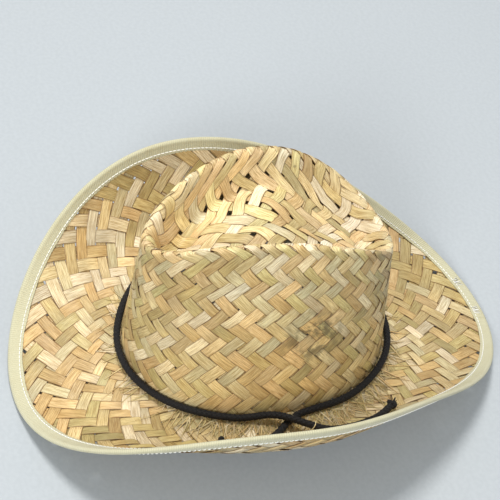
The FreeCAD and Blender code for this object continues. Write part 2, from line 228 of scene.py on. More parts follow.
STAIN_PLACE = (0.068, 0.001, 0.097)     # dark blotch on the side of the crown


def straw_material():
    """Dried straw: tint from the strip, long grain streaks, brown strip edges that are partly the
    straw's own colour and partly painted shade in the gaps between strips, and a few dark stains.
    """
    graph = Graph("straw")
    tint = graph.attribute("tint")
    run = graph.strip_place()
    place = graph.place()
    fine = graph.noise(run, 1.0, 3.0, 0.65, (1.6, 19.0, 1.0))
    broad = graph.noise(run, 1.0, 3.0, 0.6, (0.9, 5.0, 1.0))
    patches = graph.noise(place, 38.0, 3.0, 0.6)
    stains = graph.noise(place, 55.0, 3.0, 0.6)
    shadow = graph.tinted(tint, (0.66, 0.56, 0.42, 1))
    light = graph.tinted(tint, (1.22, 1.20, 1.14, 1))
    color = graph.patched(shadow, tint, fine, 0.40, 0.54)
    color = graph.patched(color, light, fine, 0.54, 0.64, 0.0, 0.9)
    color = graph.patched(color, shadow, broad, 0.34, 0.48, 0.45, 0.0)
    color = graph.patched(color, light, broad, 0.55, 0.72, 0.0, 0.5)
    green = graph.tinted(color, (0.94, 1.0, 0.86, 1))
    color = graph.patched(color, green, patches, 0.55, 0.75, 0.0, 0.35)
    # Brown lines along each strip's edges: partly the straw's own edge colour, partly painted shade
    # in the gaps between strips.
    edge = graph.ramp(graph.attribute("edge", "Fac"), 0.84, 0.97)
    color = graph.mix(graph.math("MULTIPLY", edge, graph.ramp(patches, 0.3, 0.6, 0.25, 0.8)), color,
                      srgb(112, 70, 32))
    color = graph.patched(color, srgb(104, 88, 64), stains, 0.70, 0.76, 0.0, 0.5)
    reach = graph.add("ShaderNodeVectorMath", operation="DISTANCE")
    graph.link(place, reach.inputs[0])
    reach.inputs[1].default_value = STAIN_PLACE
    blotch = graph.math("MULTIPLY", graph.ramp(reach.outputs["Value"], 0.008, 0.032, 0.75, 0.0),
                        graph.ramp(graph.noise(place, 150.0, 3.0, 0.6), 0.42, 0.60, 0.0, 1.0))
    color = graph.mix(blotch, color, srgb(104, 92, 66))
    graph.bump(fine, 0.0003, 1.0, graph.bump(broad, 0.0006, 0.8))
    return graph.shade(color=color, rough=graph.ramp(fine, 0.3, 0.7, 0.54, 0.34), specular=0.5)


def woven_tape_material(name, base):
    """Ribbed cotton tape: the strip UV's first axis runs along it, in millimetres."""
    graph = Graph(name)
    run = graph.strip_place()
    ribs = graph.wave(run, "X", Scale=0.2, Distortion=0.6, Detail=1.0)
    wear = graph.noise(graph.place(), 90.0, 4.0, 0.6)
    weft = graph.noise(run, 3.0, 2.0, 0.5, (0.4, 3.0, 1.0))
    dark = tuple(channel * 0.86 for channel in base[:3]) + (1.0,)
    color = graph.mix(ribs, dark, base)
    worn = graph.tinted(color, (0.90, 0.86, 0.74, 1))
    color = graph.patched(color, worn, wear, 0.4, 0.75, 0.0, 0.5)
    color = graph.patched(color, (1.0, 0.98, 0.9, 1.0), weft, 0.3, 0.7, 0.0, 0.25)
    graph.bump(weft, 0.0001, 0.7, graph.bump(ribs, 0.00025, 1.0))
    return graph.shade(color=color, rough=0.85, sheen=0.25, specular=0.2)


def thread_material(name, base, rough=0.7, sheen=0.3):
    """Twisted thread or braid yarn with slight colour change along it."""
    graph = Graph(name)
    place = graph.place()
    grain = graph.noise(place, 1800.0, 2.0, 0.6)
    broad = graph.noise(place, 160.0, 3.0, 0.6)
    bright = tuple(min(1.0, channel * 1.5 + 0.004) for channel in base[:3]) + (1.0,)
    color = graph.patched(base, bright, grain, 0.35, 0.7)
    color = graph.patched(color, graph.tinted(color, (0.8, 0.8, 0.8, 1)), broad, 0.4, 0.8, 0.0, 0.5)
    graph.bump(grain, 0.00012, 0.8)
    return graph.shade(color=color, rough=rough, sheen=sheen, specular=0.25)


def wire_material():
    graph = Graph("edge_wire")
    place = graph.place()
    marks = graph.noise(place, 600.0, 3.0, 0.6)
    color = graph.patched(srgb(150, 150, 148), srgb(182, 182, 180), marks, 0.3, 0.7)
    graph.bump(marks, 0.00004, 0.5)
    return graph.shade(color=color, rough=graph.ramp(marks, 0.3, 0.7, 0.28, 0.45), metal=1.0)


def cotton_material(name, base):
    """Plain woven cotton, two crossed wave textures fine enough to read as cloth."""
    graph = Graph(name)
    place = graph.place()
    cloth = graph.math("MULTIPLY", *(graph.wave(place, way, Scale=420.0, Distortion=0.8)
                                     for way in ("DIAGONAL", "Z")))
    wear = graph.noise(place, 60.0, 3.0, 0.6)
    dark = tuple(channel * 0.75 for channel in base[:3]) + (1.0,)
    color = graph.mix(cloth, dark, base)
    color = graph.patched(color, srgb(178, 150, 104), wear, 0.4, 0.8, 0.0, 0.35)
    graph.bump(cloth, 0.0002, 0.9)
    return graph.shade(color=color, rough=0.9, sheen=0.3, specular=0.15)


STRAW = straw_material()
TAPE = woven_tape_material("binding_tape", srgb(198, 192, 153))
THREAD = thread_material("white_thread", srgb(244, 242, 230))
CORD = thread_material("black_cord", (0.007, 0.006, 0.006, 1.0), 0.66, 0.04)
WISP = thread_material("pale_tack", srgb(206, 190, 140))
WIRE = wire_material()
COTTON = cotton_material("band_cotton", srgb(214, 204, 170))

# ---------------- hat cord

CORD_ROUTE = [
    (103.4, 54.7, 48.0), (113.2, 42.5, 53.8), (114.4, 24.5, 49.8), (109.2, 6.7, 42.5),
    (101.5, -7.8, 45.3), (88.4, -26.1, 45.4), (82.9, -44.3, 38.4), (79.5, -55.8, 37.2),
    (64.5, -80.2, 33.2), (44.0, -99.2, 29.2), (16.0, -111.9, 26.0), (-14.0, -112.4, 25.9),
    (-43.0, -99.7, 28.9), (-64.0, -80.2, 33.2), (-80.0, -54.8, 37.4), (-88.0, -26.6, 39.8),
    (-89.5, 2.7, 39.8), (-83.5, 29.0, 38.0), (-70.5, 54.9, 34.4), (-51.0, 77.3, 30.1),
    (-27.5, 91.5, 26.6), (0.0, 96.8, 25.1), (27.5, 91.5, 26.6), (51.0, 77.3, 30.1),
    (70.5, 54.9, 34.4), (83.5, 30.5, 37.9), (87.1, 5.6, 39.4), (89.2, -12.4, 39.4),
    (100.6, -27.5, 38.9), (106.3, -38.6, 41.3), (107.7, -54.2, 44.6), (105.4, -70.0, 49.0),
]
CORD_DIAMETER = 5.5
TACK_PLACES = [(103.5, -4.0, 44.6), (91.0, -14.5, 39.3)]    # next to the crossing
YARNS = 4                    # yarns of the braid that wind each way
BRAID_LAY = 14.0             # length of one turn of a yarn
YARN_SIDES = 6
YARN_WIDE, YARN_THICK = 0.46, 0.22   # half sizes of a yarn, in radii of the cord
YARN_RIDE = 0.14             # how far a yarn goes over and under, in radii of the cord
BACK_FRAYS = 46              # frayed ends on the back knot; the front knot has none


def route_line(route):
    """Points, in millimetres, along the smooth spline that has the route as control points."""
    curve = bpy.data.curves.new("cord_route", "CURVE")
    curve.dimensions = "3D"
    curve.resolution_u = 16
    spline = curve.splines.new("NURBS")
    spline.points.add(len(route) - 1)
    for point, place in zip(spline.points, route):
        point.co = (*(value * MM for value in place), 1.0)
    spline.order_u = 3
    spline.use_endpoint_u = True
    holder = bpy.data.objects.new("cord_route", curve)
    mesh = bpy.data.meshes.new_from_object(holder)
    line = np.array([vertex.co[:] for vertex in mesh.vertices]) / MM
    bpy.data.objects.remove(holder)
    bpy.data.meshes.remove(mesh)
    return line


def unit(vectors):
    return vectors / np.maximum(np.linalg.norm(vectors, axis=-1, keepdims=True), 1e-9)


def smooth_step(part):
    return part * part * (3 - 2 * part)


def runs_of(line):
    return np.concatenate([[0], np.cumsum(np.linalg.norm(np.diff(line, axis=0), axis=1))])


def resample(line, step):
    run = runs_of(line)
    places = np.linspace(0, run[-1], int(run[-1] / step) + 2)
    return np.stack([np.interp(places, run, line[:, axis]) for axis in range(3)], -1)


def steady_frames(line):
    """Tangent and two sideways directions along a line, turned no more than it bends."""
    ahead = unit(np.gradient(line, axis=0))
    side = np.cross(ahead[0], (0.0, 0.0, 1.0))
    sides = []
    for direction in ahead:
        side = side - direction * (side @ direction)
        side = side / np.linalg.norm(side)
        sides.append(side)
    sides = np.array(sides)
    return ahead, sides, np.cross(ahead, sides)


def tube(line, radius, sides=YARN_SIDES, flat=1.0, across=None):
    """Vertices and faces of a round or flattened tube along a line; across is the direction of
    its wide way at each point."""
    ahead, first, second = steady_frames(line)
    if across is not None:
        first = unit(across - ahead * (across * ahead).sum(-1, keepdims=True))
        second = np.cross(ahead, first)
    radius = np.broadcast_to(radius, len(line))[:, None, None]
    turn = np.linspace(0, TAU, sides, endpoint=False)
    ring = (first[:, None] * np.cos(turn)[None, :, None]
            + second[:, None] * (np.sin(turn) * flat)[None, :, None])
    verts = (line[:, None] + ring * radius).reshape(-1, 3)
    return verts, ring_faces(len(line), sides).tolist() + ring_caps(len(line), sides)


def joined(parts):
    """One vertex array and face list from several."""
    verts, faces, base = [], [], 0
    for some_verts, some_faces in parts:
        verts.append(some_verts)
        faces += [[corner + base for corner in face] for face in some_faces]
        base += len(some_verts)
    return np.concatenate(verts) * MM, faces


def braid(line, diameter, lay, step):
    """Round braid: yarns that wind both ways over and under each other round a core."""
    line = resample(line, step)
    _, first, second = steady_frames(line)
    turn = runs_of(line) / lay * TAU
    thick = YARN_THICK * diameter / 2
    weave = YARN_RIDE * diameter / 2
    parts = [tube(line, diameter / 2 - 2 * thick - weave)]
    for way in (1, -1):
        for yarn in range(YARNS):
            angle = way * turn + TAU * yarn / YARNS
            out = first * np.cos(angle)[:, None] + second * np.sin(angle)[:, None]
            reach = diameter / 2 - thick - weave + way * weave * np.cos(YARNS * turn)
            path = line + out * reach[:, None]
            ahead = unit(np.gradient(path, axis=0))
            parts.append(tube(path, YARN_WIDE * diameter / 2, YARN_SIDES, YARN_THICK / YARN_WIDE,
                              np.cross(out, ahead)))
    return parts


def knot(end, before, frays, rng):
    """Overhand knot drawn tight at the cord's end, with frayed yarn ends beyond it."""
    end, before = np.array(end), np.array(before)
    ahead = unit(end - before)
    side = unit(np.cross(ahead, (0, 0, 1.0)))
    up = np.cross(side, ahead)
    centre = end + ahead * 2.6
    turn = np.linspace(0, TAU, 90)
    loop = np.stack([np.sin(turn) + 1.7 * np.sin(2 * turn), np.cos(turn) - 1.7 * np.cos(2 * turn),
                     -1.1 * np.sin(3 * turn)], -1) * 0.98
    loop = centre + loop[:, :1] * side + loop[:, 1:2] * up + loop[:, 2:] * ahead
    parts = braid(loop, 3.6, 9.0, 0.5)
    for _ in range(frays):
        lean = side * rng.normal(0, 0.34) + up * rng.normal(0.12, 0.3)
        away = unit(ahead + lean)
        reach = rng.uniform(3.2, 6.8)
        start = centre + lean * 1.8
        share = np.linspace(0, 1, 6)[:, None]
        curl = side * rng.normal(0, 0.7) + up * rng.normal(0, 0.7)
        parts.append(tube(start + away * reach * share + curl * share ** 2,
                          rng.uniform(0.16, 0.26), 4))
    return parts


def make_cord():
    rng = np.random.default_rng(5)
    line = route_line(CORD_ROUTE)
    cord = new_object("hat_cord_braid", *joined(braid(line, CORD_DIAMETER, BRAID_LAY, 0.8)), CORD)
    knots = [new_object(name, *joined(knot(end, before, frays, rng)), CORD)
             for name, end, before, frays in (
        ("cord_knot_back_turns", CORD_ROUTE[0], CORD_ROUTE[1], BACK_FRAYS),
        ("cord_knot_front_turns", CORD_ROUTE[-1], CORD_ROUTE[-2], 0))]
    for item, node in zip([cord] + knots, ("hat_cord", "cord_knot_back", "cord_knot_front")):
        add_to_hat(item, "cord", node)
    [value * MM for value in CORD_ROUTE[0]]
    return line


def make_tack(line):
    """Pale strands that tie the cord down, one on each side of the crossing."""
    parts = []
    _, first, second = steady_frames(line)
    for place in TACK_PLACES:
        near = np.argmin(np.linalg.norm(line - np.array(place), axis=1))
        turn = np.linspace(0.0, 1.12 * TAU, 40)
        reach = 3.15 + 0.12 * np.sin(3 * turn)
        lean = 0.9 * np.sin(turn)[:, None] * unit(line[near + 1] - line[near])
        loop = (line[near] + lean + first[near] * (np.cos(turn) * reach)[:, None]
                + second[near] * (np.sin(turn) * reach)[:, None])
        tail = loop[-1] + (loop[-1] - loop[-2]) * np.linspace(0.5, 9.0, 8)[:, None]
        tail[:, 2] -= np.linspace(0, 1.2, 8)
        parts.append(tube(np.concatenate([loop, tail]), 0.34, 5))
    add_to_hat(new_object("cord_tack_strands", *joined(parts), WISP), "tack", "cord_tack")


cord_line = make_cord()
make_tack(cord_line)

# ---------------- shape of the straw body

CENTRE_Y = -8.8
HEAD_HEIGHT = 28.92
# rows: half length, half width, shift back, egg, height, front rise, saddle
BASE_RING = np.array([99.5, 84.0, 0.0, 0.0, 0.0, 0.0, -7.2])
CREST_RING = np.array([92.6, 48.6, -3.4, -0.21, 119.9, 13.1, -20.1])
WALL_SHARES = [0.0, 0.3, 0.6, 0.85, 1.0]
DENT_RINGS = [  # width scale, length scale, drop, front drop, saddle given back, shift back
    (0.90, 0.93, -1.0, 0.0, 0.0, 0.0),
    (0.79, 0.85, -13.0, -4.0, 2.0, 0.0),
    (0.68, 0.74, -19.0, -8.0, 6.0, 1.0),
    (0.54, 0.58, -14.0, -7.0, 10.0, 2.0),
    (0.28, 0.30, -7.0, -6.0, 15.0, 3.0),
    (0.00, 0.00, -5.0, -13.1, 20.1, 4.0),
]
EDGE_REACH = (159.85, -2.0, 24.25, -5.2, 3.7, -1.6)
EDGE_RISE = (25.95, 4.6, -44.35, -4.3, -7.9)
SAG = (3.5, -0.5, 1.0)
CURL_POWER, CURL_POWER_SIDE = 2.5, 0.9


def dent_ring(width, length, drop, front, saddle, shift):
    ring = CREST_RING.copy()
    ring[0] *= length
    ring[1] *= width
    ring[2] += shift
    ring[4:] += (drop, front, saddle)
    return ring


RINGS = np.array([BASE_RING + (CREST_RING - BASE_RING) * share for share in WALL_SHARES]
                 + [dent_ring(*row) for row in DENT_RINGS])
CREST_KNOT = len(WALL_SHARES) - 1
LAST_KNOT = len(RINGS) - 1


def harmonics(weights, angle):
    return sum(weight * np.cos(order * angle) for order, weight in enumerate(weights))


def ring_points(rings, angle):
    a, b, shift, egg, height, rise, saddle = np.moveaxis(rings, -1, 0)
    turn = np.cos(angle)
    return np.stack([b * np.sin(angle) * (1 + egg * turn),
                     shift - a * turn + CENTRE_Y,
                     height + rise * turn + saddle * np.cos(2 * angle) + HEAD_HEIGHT], -1)


def crown(angle, knot):
    """Middle of the straw on the crown, in millimetres: knot 0 is the head opening."""
    knot = np.clip(knot, 0, LAST_KNOT)
    first = np.minimum(knot.astype(int), LAST_KNOT - 1)
    part = (knot - first)[..., None]
    p1, p2 = ring_points(RINGS[first], angle), ring_points(RINGS[first + 1], angle)
    before = ring_points(RINGS[np.maximum(first - 1, 0)], angle)
    after = ring_points(RINGS[np.minimum(first + 2, LAST_KNOT)], angle)
    p0 = np.where((first > 0)[..., None], before, p1 * 2 - p2)
    p3 = np.where((first + 2 <= LAST_KNOT)[..., None], after, p2 * 2 - p1)
    return 0.5 * (p1 * 2 + (p2 - p0) * part + (p0 * 2 - p1 * 5 + p2 * 4 - p3) * part ** 2
                  + (p1 * 3 - p0 - p2 * 3 + p3) * part ** 3)


def edge(angle):
    reach = harmonics(EDGE_REACH, angle)
    return np.stack([reach * np.sin(angle), CENTRE_Y - reach * np.cos(angle),
                     harmonics(EDGE_RISE, angle) + HEAD_HEIGHT], -1)


def brim(angle, share):
    """Middle of the straw on the brim: share 0 is at the crown and 1 at the outer edge."""
    angle, share = np.broadcast_arrays(angle, share)
    inner, outer = ring_points(np.broadcast_to(BASE_RING, angle.shape + (7,)), angle), edge(angle)
    point = inner + (outer - inner) * share[..., None]
    power = CURL_POWER - CURL_POWER_SIDE * np.cos(2 * angle)
    curl = np.maximum(share, 0.0) ** power
    hollow = harmonics(SAG, angle) * 4 * share * (1 - share)
    point[..., 2] = inner[..., 2] + (outer[..., 2] - inner[..., 2]) * curl - hollow
    return point


def surface_normal(surface, first, second, step=0.004):
    across = surface(first + step, second) - surface(first - step, second)
    along = surface(first, second + step) - surface(first, second - step)
    return unit(np.cross(across, along))


def look_up(table, place, value, stations):
    """Station at which a row of the table reaches the value; places between two rows of the
    closed table are mixed."""
    place, value = np.broadcast_arrays(np.mod(place, len(table) - 1), value)
    low = np.minimum(place.astype(int), len(table) - 2)
    part = (place - low)[..., None]
    rows = (table[low] * (1 - part) + table[low + 1] * part).reshape(-1, table.shape[1])
    wanted = np.ravel(value)
    column = np.clip((rows < wanted[:, None]).sum(1), 1, len(stations) - 1)
    index = np.arange(len(wanted))
    before, after = rows[index, column - 1], rows[index, column]
    blend = (wanted - before) / np.maximum(after - before, 1e-6)
    return (stations[column - 1]
            + blend * (stations[column] - stations[column - 1])).reshape(np.shape(value))


# ---------------- weave lattice on the crown

CROWN_STRIPS = 46            # ends of straw in each direction round the crown
MAT_HALF = (4.5, 7.0)        # half size of the flat woven tip, in strips
CORNER_SPREAD = 0.4          # share of the tip's lattice that follows its rim
WALL_ROWS = 11.3             # strips from the top ridge down to the head opening
TOP_SPACING, FOOT_SPACING = 10.0, 12.8
SETTLE_ROWS = 5.0            # rows over which the strips' angles even out below the ridge
TIP_TURNS, LAP_STATIONS, DENSE = 180, 377, 1441     # stations of the look-up tables
INSIDE_RIM = 0.9999          # keeps a place on the tip's rim from falling outside it


def disc_of_square(a, b):
    """Point of the unit disc for a point of the square from -1 to 1."""
    return np.stack([a * np.sqrt(1 - b ** 2 / 2), b * np.sqrt(1 - a ** 2 / 2)], -1)


def disc_of_mat(x, y):
    """Place in a unit disc of a point of the rectangular tip, which keeps its strips evenly
    spaced in the middle and spreads its corners along the rim."""
    a, b = x / MAT_HALF[0], y / MAT_HALF[1]
    size = np.maximum(np.maximum(np.abs(a), np.abs(b)), 1e-6)
    rim = disc_of_square(a / size, b / size) * size[..., None]
    return (1 - CORNER_SPREAD) * disc_of_square(a, b) + CORNER_SPREAD * rim


def mat_side(lap):
    """Point on the tip's rim, outward direction and forward direction at a lap position."""
    hx, hy = MAT_HALF
    lap = np.mod(lap + hx, CROWN_STRIPS)
    starts = np.array([0, 2 * hx, 2 * hx + 2 * hy, 4 * hx + 2 * hy])
    side = np.digitize(lap, starts[1:])
    corner = np.array([(-hx, -hy), (hx, -hy), (hx, hy), (-hx, hy)])[side]
    ahead = np.array([(1, 0), (0, 1), (-1, 0), (0, -1)], float)[side]
    out = np.array([(0, -1), (1, 0), (0, 1), (-1, 0)], float)[side]
    return corner + ahead * (lap - starts[side])[..., None], out, ahead


def beside_mat(x, y):
    """Whether a point lies further past the tip's left or right rim than its front or back."""
    return (np.abs(x) - MAT_HALF[0]) >= (np.abs(y) - MAT_HALF[1])


def mat_excess(x, y):
    """How far, in strips, a point lies outside the tip's rim."""
    return np.maximum(np.abs(x) - MAT_HALF[0], np.abs(y) - MAT_HALF[1])


def lap_of_mat(x, y):
    """Lap position of a point just outside the tip's rim."""
    hx, hy = MAT_HALF
    return np.where(beside_mat(x, y), np.where(x > 0, hx + hy + y, 3 * hx + 3 * hy - y),
                    np.where(y < 0, x, 2 * hx + 2 * hy - x))


def tip_place(x, y):
    """Angle and knot of a point of the tip."""
    disc = disc_of_mat(x, y)
    radius = np.clip(np.hypot(disc[..., 0], disc[..., 1]), 0, 1)
    angle = np.arctan2(disc[..., 0], -disc[..., 1])
    return angle, look_up(TIP_TABLE, angle / TAU * TIP_TURNS, radius, TIP_KNOTS)


def row_runs(points):
    """Distance along each row of points from its first point."""
    run = np.cumsum(np.linalg.norm(np.diff(points, axis=1), axis=-1), axis=1)
    return np.concatenate([np.zeros((len(points), 1)), run], axis=1)


def tip_table():
    """How far along the dented top each knot is, from its middle to the ridge, by angle."""
    angles = np.linspace(0, TAU, TIP_TURNS + 1)
    points = crown(angles[:, None], np.broadcast_to(TIP_KNOTS, (len(angles), len(TIP_KNOTS))))
    run = row_runs(points)
    return run / run[:, -1:]


TIP_KNOTS = np.linspace(LAST_KNOT, CREST_KNOT, 61)
TIP_TABLE = tip_table()
LAPS = np.linspace(0, CROWN_STRIPS, LAP_STATIONS)
RIM_POINTS = mat_side(LAPS)[0] * INSIDE_RIM
CREST_ANGLES = np.unwrap(tip_place(RIM_POINTS[:, 0], RIM_POINTS[:, 1])[0])
TURN = np.linspace(0, TAU, DENSE)      # dense row of angles round the hat
BASE_RUN = runs_of(ring_points(np.broadcast_to(BASE_RING, (DENSE, 7)), TURN))
BASE_ANGLES = np.interp(LAPS / CROWN_STRIPS, BASE_RUN / BASE_RUN[-1], TURN)


def wall_height(angle):
    foot = crown(angle, np.zeros_like(angle))
    top = crown(angle, np.full_like(angle, CREST_KNOT))
    return np.linalg.norm(top - foot, axis=-1)


MEAN_HEIGHT = wall_height(TURN).mean()


def wall_share(lap, row):
    """Angle of a wall place and its share of the way up from the head opening to the ridge."""
    turns = np.floor(lap / CROWN_STRIPS)
    inside = lap - turns * CROWN_STRIPS
    crest = np.interp(inside, LAPS, CREST_ANGLES)
    base = np.interp(inside, LAPS, BASE_ANGLES)
    settle = smooth_step(np.clip(row / SETTLE_ROWS, 0, 1))
    angle = crest + (base - crest) * settle + turns * TAU
    rows = WALL_ROWS * (0.5 + 0.5 * wall_height(angle) / MEAN_HEIGHT)
    down = row / rows
    growth = (FOOT_SPACING - TOP_SPACING) / 2
    return angle, 1 - (TOP_SPACING * down + growth * down ** 2) / (TOP_SPACING + growth)


def crown_surface(wall, first, second):
    """Point of the crown for lattice places: lap and row where wall is true, else tip places."""
    wall, first, second = np.broadcast_arrays(wall, first, second)
    point, out, _ = mat_side(np.where(wall, first, 0.0))
    folded = point - out * np.maximum(-second, 0)[..., None]
    x, y = np.where(wall, folded[..., 0], first), np.where(wall, folded[..., 1], second)
    excess = mat_excess(x, y)
    on_tip = np.where(wall, second < 0, excess <= 0)
    lap, row = np.where(wall, first, lap_of_mat(x, y)), np.where(wall, second, excess)
    tip_angle, tip_knot = tip_place(np.clip(x, -MAT_HALF[0], MAT_HALF[0]),
                                    np.clip(y, -MAT_HALF[1], MAT_HALF[1]))
    wall_angle, share = wall_share(lap, np.maximum(row, 0))
    wall_knot = np.interp(share, WALL_SHARES, range(len(WALL_SHARES)))
    return crown(np.where(on_tip, tip_angle, wall_angle), np.where(on_tip, tip_knot, wall_knot))


# ---------------- weave lattice on the brim

BRIM_STRIPS = 68
BRIM_SHARE_END = 0.985       # where the strips end inside the binding
MIDDLE_SHARE = 0.55          # where on the brim the strips are evenly spaced round it
BRIM_TURNS = 360             # stations of the table round the brim
BRIM_PLACES = np.linspace(0, 1, 721)
MIDDLE_RUN = runs_of(brim(TURN, np.full_like(TURN, MIDDLE_SHARE)))
BRIM_ANGLES = np.interp(BRIM_PLACES, MIDDLE_RUN / MIDDLE_RUN[-1], TURN)
BRIM_SHARES = np.linspace(0, 1, 61)


def brim_rows_table():
    """How many strips out each share of the brim is, at places all round it."""
    laps = np.linspace(0, BRIM_STRIPS, BRIM_TURNS + 1)
    angles = np.interp(laps / BRIM_STRIPS, BRIM_PLACES, BRIM_ANGLES)
    points = brim(angles[:, None], BRIM_SHARES[None, :])
    spacing = np.linalg.norm(np.gradient(points, laps, axis=0), axis=-1)
    run = np.linalg.norm(np.diff(points, axis=1), axis=-1)
    rows = np.cumsum(run / (0.5 * (spacing[:, 1:] + spacing[:, :-1])), axis=1)
    rows = np.concatenate([np.zeros((len(laps), 1)), rows], axis=1)
    return rows * (0.5 + 0.5 * rows[:, -1].mean() / rows[:, -1:])


ROW_TABLE = brim_rows_table()


def brim_surface(lap, row):
    """Point of the brim at a lap position and a row, counted in strips."""
    lap, row = np.broadcast_arrays(lap, row)
    place = np.mod(lap, BRIM_STRIPS) / BRIM_STRIPS
    share = look_up(ROW_TABLE, place * BRIM_TURNS, row, BRIM_SHARES)
    angle = np.interp(place, BRIM_PLACES, BRIM_ANGLES)
    return brim(angle, np.minimum(share, 1.0))


def brim_rows_at(lap):
    """Rows from the head opening to the binding at a lap position."""
    place = np.mod(lap, BRIM_STRIPS) / BRIM_STRIPS * BRIM_TURNS
    end = int(BRIM_SHARE_END * (len(BRIM_SHARES) - 1))
    return np.interp(place, np.arange(BRIM_TURNS + 1), ROW_TABLE[:, end])


# ---------------- straw strips

STRAW_WIDTH = 9.4            # natural width of a strip, millimetres
STRAW_THICK = 0.28
STRAW_CROWN = 0.11           # how far a strip's middle stands over its edges
LIFT = 0.48                  # how far a strip rides above or below the middle of the weave
STEPS_PER_CROSSING = 5
ACROSS = np.array([-1.0, -0.86, 0.0, 0.86, 1.0])
TINTS = np.array([srgb(*tone)[:3] for tone in (
    (234, 212, 158), (226, 202, 144), (212, 192, 132), (240, 222, 180), (204, 188, 126),
    (230, 198, 142), (246, 232, 198), (216, 184, 124), (224, 210, 164), (198, 176, 116))])
TINTS = TINTS * 0.85 + TINTS.mean(axis=0) * 0.155    # closer together
# The first factor lightens and pales the straw of the tip: painted light standing in for the strong
# light on the crown's top.
TIP_PAINTED_LIGHT, BRIM_TINT = (1.17, 1.21, 1.38, 1.0), (0.90, 0.88, 0.88, 1.0)
ROWS_TRIED = np.arange(0, 16, 0.05)
UV_SCALE = 0.05              # grain's length along a strip, per millimetre


def twill(row, family):
    """+1 where a strip of this family is on top at a crossing this many rows from the ridge."""
    over = np.mod(np.rint(2 * row), 4) < 2
    return np.where(over, 1.0, -1.0) * family


def strip_mesh(bank, place, state, look):
    """Adds one strip to the bank.  place(across) gives the strip's points, moved sideways in
    steps of one neighbouring strip; state is its side of the weave at each point."""
    count = len(state)
    step = 0.04
    centre = place(np.zeros((count, 1)))[:, 0]
    side = (place(np.full((count, 1), step)) - place(np.full((count, 1), -step)))[:, 0] / (2 * step)
    tangent = unit(np.gradient(centre, axis=0))
    flat = side - tangent * (side * tangent).sum(-1, keepdims=True)
    pitch = np.maximum(np.linalg.norm(flat, axis=-1), 1.0)
    width = np.minimum(pitch * look["cover"], STRAW_WIDTH * look["width"])
    points = place((width / pitch / 2)[:, None] * ACROSS[None, :] + look["wander"][:, None])
    normal = unit(np.cross(tangent, unit(flat)))
    height = ((state * LIFT + look["wave"])[:, None] + STRAW_CROWN * (1 - ACROSS ** 2)
              + look["tilt"] * ACROSS)
    top = points + normal[:, None, :] * (height + STRAW_THICK / 2)[..., None]
    low = points + normal[:, None, :] * (height - STRAW_THICK / 2)[..., None]
    loop = np.concatenate([top, low[:, ::-2]], axis=1)
    size = loop.shape[1]
    base = bank["count"]
    bank["count"] += count * size
    bank["verts"].append(loop.reshape(-1, 3) * MM)
    profile = np.concatenate([ACROSS, ACROSS[::-2]])
    bank["edge"].append(np.tile(np.abs(profile), count))
    run = runs_of(centre)
    lane = profile * 0.5 + look["lane"]
    bank["uv"].append(np.stack(np.broadcast_arrays(run[:, None] * UV_SCALE, lane[None, :]), -1)
                      .reshape(-1, 2))
    bank["tint"].append(np.repeat(look["tint"], size, axis=0))
    bank["faces"].append(ring_faces(count, size) + base)
    bank["caps"] += [[corner + base for corner in cap] for cap in ring_caps(count, size)]


def strip_look(rng, count, runs):
    """Colour, width and small faults of one strip; runs numbers the crossings along it."""
    tint = TINTS[rng.integers(len(TINTS))] * rng.uniform(0.88, 1.08)
    floats = rng.uniform(0.76, 1.14, int(runs[-1]) + 3)
    warm = rng.uniform(-0.04, 0.04, int(runs[-1]) + 3)
    stations = np.arange(len(floats)) * 2 - 1
    tone, hue = np.interp(runs, stations, floats), np.interp(runs, stations, warm)
    colors = tint[None, :] * tone[:, None] * np.stack([1 + hue, np.ones(count), 1 - hue], -1)
    phase, pace = rng.uniform(0, TAU), rng.uniform(0.25, 0.5)
    return {"tint": np.concatenate([colors, np.ones((count, 1))], axis=1),
            "cover": rng.uniform(0.92, 1.05), "width": rng.uniform(0.88, 1.08),
            "wander": 0.07 * np.sin(runs * pace + phase) + 0.03 * np.sin(runs * 1.3 + 2 * phase),
            "wave": 0.10 * np.sin(runs * 0.9 + phase), "tilt": rng.uniform(-0.2, 0.2),
            "lane": rng.integers(400) * 1.7}


def new_bank():
    bank = {key: [] for key in ("verts", "faces", "caps", "edge", "uv", "tint")}
    bank["count"] = 0
    return bank


def bank_object(name, bank):
    verts = np.concatenate(bank["verts"])
    faces = [list(face) for face in np.concatenate(bank["faces"])] + bank["caps"]
    item = new_object(name, verts, faces, STRAW)
    mesh = item.data
    tint = mesh.color_attributes.new("tint", "FLOAT_COLOR", "POINT")
    tint.data.foreach_set("color", np.concatenate(bank["tint"]).ravel())
    rim = mesh.attributes.new("edge", "FLOAT", "POINT")
    rim.data.foreach_set("value", np.concatenate(bank["edge"]))
    strip_uvs(mesh, np.concatenate(bank["uv"]))
    return item


def smooth_state(states, fine):
    """Weave side along a strip: the crossings' sides joined by smooth steps."""
    low = np.minimum(fine.astype(int), len(states) - 2)
    return states[low] + (states[low + 1] - states[low]) * smooth_step(fine - low)


def fine_steps(length):
    """Fine places along a stretch of the lattice, in crossings, that end exactly at its length."""
    return np.linspace(0, length, max(2, int(round(length * STEPS_PER_CROSSING)) + 1))


def wall_end(lap, lean):
    """Rows from the ridge to the head opening along a strip that leans this way."""
    share = wall_share(lap + lean * ROWS_TRIED, ROWS_TRIED)[1]
    return ROWS_TRIED[np.argmax(share < 0.0)]


def brim_end(lap, lean):
    """Rows from the head opening to the binding along a strip that leans this way."""
    return ROWS_TRIED[np.argmax(ROWS_TRIED > brim_rows_at(lap + lean * ROWS_TRIED))]


def side_lean(end, direction):
    """Lap where a strip leaves the tip, and which way it leans on the wall below."""
    lap = float(lap_of_mat(*end))
    ahead = mat_side(np.array([lap]))[2][0]
    return lap, 1.0 if ahead @ direction > 0 else -1.0


